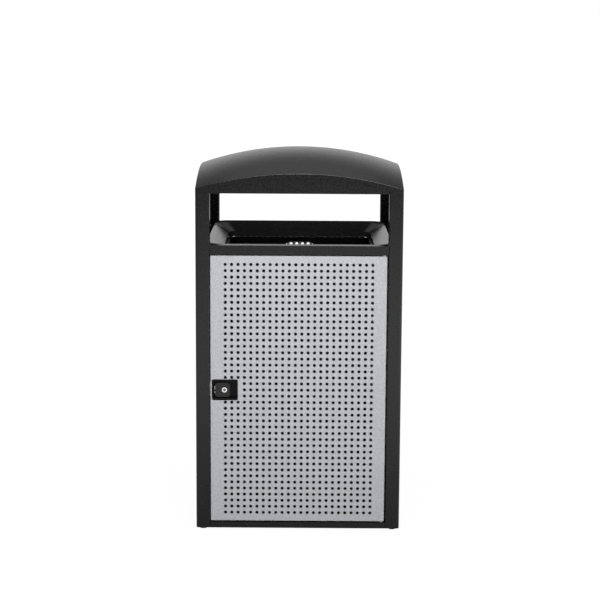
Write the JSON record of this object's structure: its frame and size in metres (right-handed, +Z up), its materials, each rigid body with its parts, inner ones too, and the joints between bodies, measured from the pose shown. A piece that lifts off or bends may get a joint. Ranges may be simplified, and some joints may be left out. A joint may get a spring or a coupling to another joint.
{
  "type": "outdoor trash can",
  "caption": "Free-standing outdoor trash can: dark tube frame, domed roof, feed openings, perforated silver door with a keyed paddle latch, and a lift-out liner.",
  "frame": {"origin": "floor point under the middle of the bin", "axes": "+Z up, +X to the right seen from the front, the door faces -Y"},
  "size_m": [0.6, 0.555, 1.113],
  "materials": {
    "charcoal_steel": "charcoal powder coat",
    "silver_steel": "silver grey powder coat",
    "latch_black": "black coated die casting",
    "zinc_steel": "zinc plated",
    "lock_chrome": "polished chrome",
    "liner_plastic": "black rotomoulded polyethylene",
    "bush_nylon": "natural acetal",
    "foot_nylon": "black nylon",
    "buffer_rubber": "black rubber"
  },
  "bodies": {
    "frame": {"post_front_left": "charcoal_steel", "post_front_right": "charcoal_steel", "post_rear_left": "charcoal_steel", "post_rear_right": "charcoal_steel", "bottom_rail_front": "charcoal_steel", "bottom_rail_rear": "charcoal_steel", "bottom_rail_left": "charcoal_steel", "bottom_rail_right": "charcoal_steel", "mid_rail_front": "charcoal_steel", "mid_rail_rear": "charcoal_steel", "mid_rail_left": "charcoal_steel", "mid_rail_right": "charcoal_steel", "fascia_front": "charcoal_steel", "fascia_rear": "charcoal_steel", "side_plate_left": "charcoal_steel", "side_plate_right": "charcoal_steel", "roof": "charcoal_steel", "roof_bearer_left": "charcoal_steel", "roof_bearer_right": "charcoal_steel", "roof_studs": "zinc_steel", "roof_nuts": "zinc_steel", "perforated_panel_rear": "silver_steel", "perforated_panel_left": "silver_steel", "perforated_panel_right": "silver_steel", "panel_cleats": "charcoal_steel", "panel_screws": "zinc_steel", "base_pan": "charcoal_steel", "base_pan_screws": "zinc_steel", "hopper": "charcoal_steel", "hopper_screws": "zinc_steel", "hinge_pin_lower": "zinc_steel", "hinge_pin_upper": "zinc_steel", "door_stops": "charcoal_steel", "door_buffers": "buffer_rubber", "strike_plate": "zinc_steel", "foot_inserts": "zinc_steel"},
    "door": {"door_panel": "silver_steel", "hinge_blocks": "zinc_steel", "hinge_bushes": "bush_nylon", "latch_housing": "latch_black", "latch_clamp": "zinc_steel", "latch_screws": "zinc_steel", "paddle_pin": "latch_black", "bolt_spring": "zinc_steel", "bolt_guide": "zinc_steel"},
    "paddle": {"latch_paddle": "latch_black", "lock_barrel": "lock_chrome"},
    "lock": {"lock_plug": "lock_chrome", "lock_cam": "zinc_steel"},
    "bolt": {"latch_bolt": "zinc_steel"},
    "liner": {"liner": "liner_plastic"},
    "foot_front_left": {"levelling_foot_front_left": "foot_nylon"},
    "foot_front_right": {"levelling_foot_front_right": "foot_nylon"},
    "foot_rear_left": {"levelling_foot_rear_left": "foot_nylon"},
    "foot_rear_right": {"levelling_foot_rear_right": "foot_nylon"}
  },
  "joints": [
    {"name": "door_hinge", "type": "hinge", "parent": "frame", "child": "door", "pos_m": [0.247, -0.2675, 0.4234], "axis": [0, 0, 1], "range_deg": [0, 105]},
    {"name": "latch_paddle", "type": "hinge", "parent": "door", "child": "paddle", "pos_m": [-0.242, -0.273, 0.4234], "axis": [0, 0, -1], "range_deg": [0, 35]},
    {"name": "latch_bolt", "type": "slide", "parent": "door", "child": "bolt", "axis": [1, 0, 0], "range_m": [0, 0.011], "stiffness_N_per_m": 250, "springref_m": -0.008, "deforming": ["bolt_spring"]},
    {"name": "lock_turn", "type": "hinge", "parent": "paddle", "child": "lock", "pos_m": [-0.216, -0.2718, 0.4234], "axis": [0, -1, 0], "range_deg": [0, 90]},
    {"name": "liner_draw", "type": "slide", "parent": "frame", "child": "liner", "axis": [0, -1, 0], "range_m": [0, 0.03]},
    {"name": "foot_front_left_turn", "type": "hinge", "parent": "frame", "child": "foot_front_left", "pos_m": [-0.2795, -0.257, 0.02], "axis": [0, 0, 1], "continuous": true},
    {"name": "foot_front_right_turn", "type": "hinge", "parent": "frame", "child": "foot_front_right", "pos_m": [0.2795, -0.257, 0.02], "axis": [0, 0, 1], "continuous": true},
    {"name": "foot_rear_left_turn", "type": "hinge", "parent": "frame", "child": "foot_rear_left", "pos_m": [-0.2795, 0.257, 0.02], "axis": [0, 0, 1], "continuous": true},
    {"name": "foot_rear_right_turn", "type": "hinge", "parent": "frame", "child": "foot_rear_right", "pos_m": [0.2795, 0.257, 0.02], "axis": [0, 0, 1], "continuous": true}
  ],
  "couplings": [
    {"joint": "latch_paddle", "follows": "latch_bolt", "rad_per_m": 55}
  ]
}
